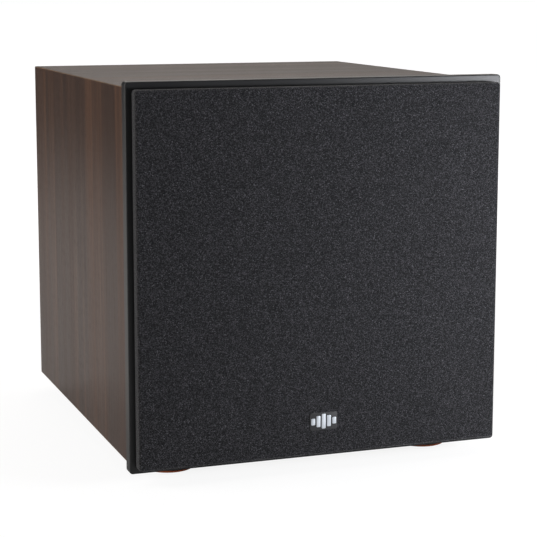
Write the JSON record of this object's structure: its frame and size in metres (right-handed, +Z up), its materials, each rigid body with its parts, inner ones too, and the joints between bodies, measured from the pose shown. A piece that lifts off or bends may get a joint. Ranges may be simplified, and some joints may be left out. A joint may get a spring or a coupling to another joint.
{
  "type": "powered subwoofer",
  "caption": "Powered subwoofer: wood-wrapped box, black oversize baffle, cloth grille over a long-throw woofer, rear port and amplifier panel, round feet.",
  "frame": {"origin": "on the floor under the middle of the overall box", "axes": "+Z up; the grille faces -Y and the amplifier panel faces +Y; +X is to the right of someone facing the grille"},
  "size_m": [0.353, 0.404, 0.3535],
  "materials": {
    "wood_wrap": "dark walnut effect vinyl on board, satin, fine open grain",
    "board": "raw medium density board",
    "black_satin": "black satin vinyl or paint",
    "black_plastic": "moulded black plastic, fine texture",
    "black_metal": "black powder coat",
    "grille_cloth": "charcoal knitted speaker cloth with light flecks",
    "badge_metal": "bright satin aluminium",
    "black_rubber": "black rubber",
    "orange_rubber": "orange rubber ring",
    "cone_paper": "black coated pressed paper",
    "zinc_steel": "zinc plated steel",
    "ferrite": "sintered ferrite, dark grey",
    "copper_wire": "enamelled copper winding",
    "spider_cloth": "resin treated cotton",
    "wadding": "white polyester wadding",
    "board_green": "glass fibre circuit board",
    "aluminium": "plain aluminium",
    "red_insulation": "red wire insulation",
    "black_insulation": "black wire insulation",
    "green_lens": "green light lens",
    "gold_plate": "gold plated",
    "winding_tape": "amber transformer tape over copper"
  },
  "bodies": {
    "cabinet": {"top_panel": "wood_wrap", "bottom_panel": "wood_wrap", "left_side_panel": "wood_wrap", "right_side_panel": "wood_wrap", "rear_panel": "black_satin", "front_baffle": "black_satin", "window_brace": "board", "damping_pad": "wadding", "port_tube": "black_plastic", "driver_basket": "black_metal", "driver_gasket": "black_rubber", "spider": "spider_cloth", "surround": "black_rubber", "magnet_top_plate": "zinc_steel", "ferrite_magnet": "ferrite", "yoke": "zinc_steel", "terminal_strip": "board", "speaker_lead_positive": "red_insulation", "speaker_lead_negative": "black_insulation", "amp_plate": "black_metal", "amp_housing": "black_plastic", "heat_sink": "aluminium", "circuit_board": "board_green", "mains_transformer": "winding_tape", "filter_capacitor_1": "black_insulation", "filter_capacitor_2": "black_insulation", "level_pot": "zinc_steel", "crossover_pot": "zinc_steel", "phase_switch_body": "zinc_steel", "standby_switch_body": "zinc_steel", "line_input_left": "gold_plate", "line_input_right": "gold_plate", "mains_inlet": "black_plastic", "power_switch_frame": "black_plastic", "status_light": "green_lens", "foot_body_front_left": "black_plastic", "foot_body_front_right": "black_plastic", "foot_body_rear_left": "black_plastic", "foot_body_rear_right": "black_plastic", "foot_ring_front_left": "orange_rubber", "foot_ring_front_right": "orange_rubber", "foot_ring_rear_left": "orange_rubber", "foot_ring_rear_right": "orange_rubber", "grille_grommet_1": "black_rubber", "grille_grommet_2": "black_rubber", "grille_grommet_3": "black_rubber", "grille_grommet_4": "black_rubber"},
    "cone_assembly": {"cone": "cone_paper", "dust_cap": "cone_paper", "voice_coil_former": "aluminium", "voice_coil": "copper_wire"},
    "grille": {"grille_frame": "black_plastic", "grille_cloth": "grille_cloth", "badge": "badge_metal"},
    "level_control": {"level_knob": "black_plastic"},
    "crossover_control": {"crossover_knob": "black_plastic"},
    "phase_slider": {"phase_switch_slider": "black_plastic"},
    "standby_slider": {"standby_switch_slider": "black_plastic"},
    "power_rocker": {"power_rocker": "black_plastic"}
  },
  "joints": [
    {"name": "cone_travel", "type": "slide", "parent": "cabinet", "child": "cone_assembly", "axis": [0, -1, 0], "range_m": [-0.008, 0.008], "stiffness_N_per_m": 4000, "deforming": ["surround", "spider"]},
    {"name": "grille_pull", "type": "slide", "parent": "cabinet", "child": "grille", "axis": [0, -1, 0], "range_m": [0, 0.06]},
    {"name": "level_turn", "type": "hinge", "parent": "cabinet", "child": "level_control", "pos_m": [0.07, 0.192, 0.165], "axis": [0, -1, 0], "range_deg": [-150, 150]},
    {"name": "crossover_turn", "type": "hinge", "parent": "cabinet", "child": "crossover_control", "pos_m": [0.02, 0.192, 0.165], "axis": [0, -1, 0], "range_deg": [-150, 150]},
    {"name": "phase_slide", "type": "slide", "parent": "cabinet", "child": "phase_slider", "axis": [1, 0, 0], "range_m": [0, 0.004]},
    {"name": "standby_slide", "type": "slide", "parent": "cabinet", "child": "standby_slider", "axis": [1, 0, 0], "range_m": [-0.0035, 0.0035]},
    {"name": "power_rock", "type": "hinge", "parent": "cabinet", "child": "power_rocker", "pos_m": [-0.01, 0.1885, 0.085], "axis": [0, 0, 1], "range_deg": [0, 16]}
  ]
}
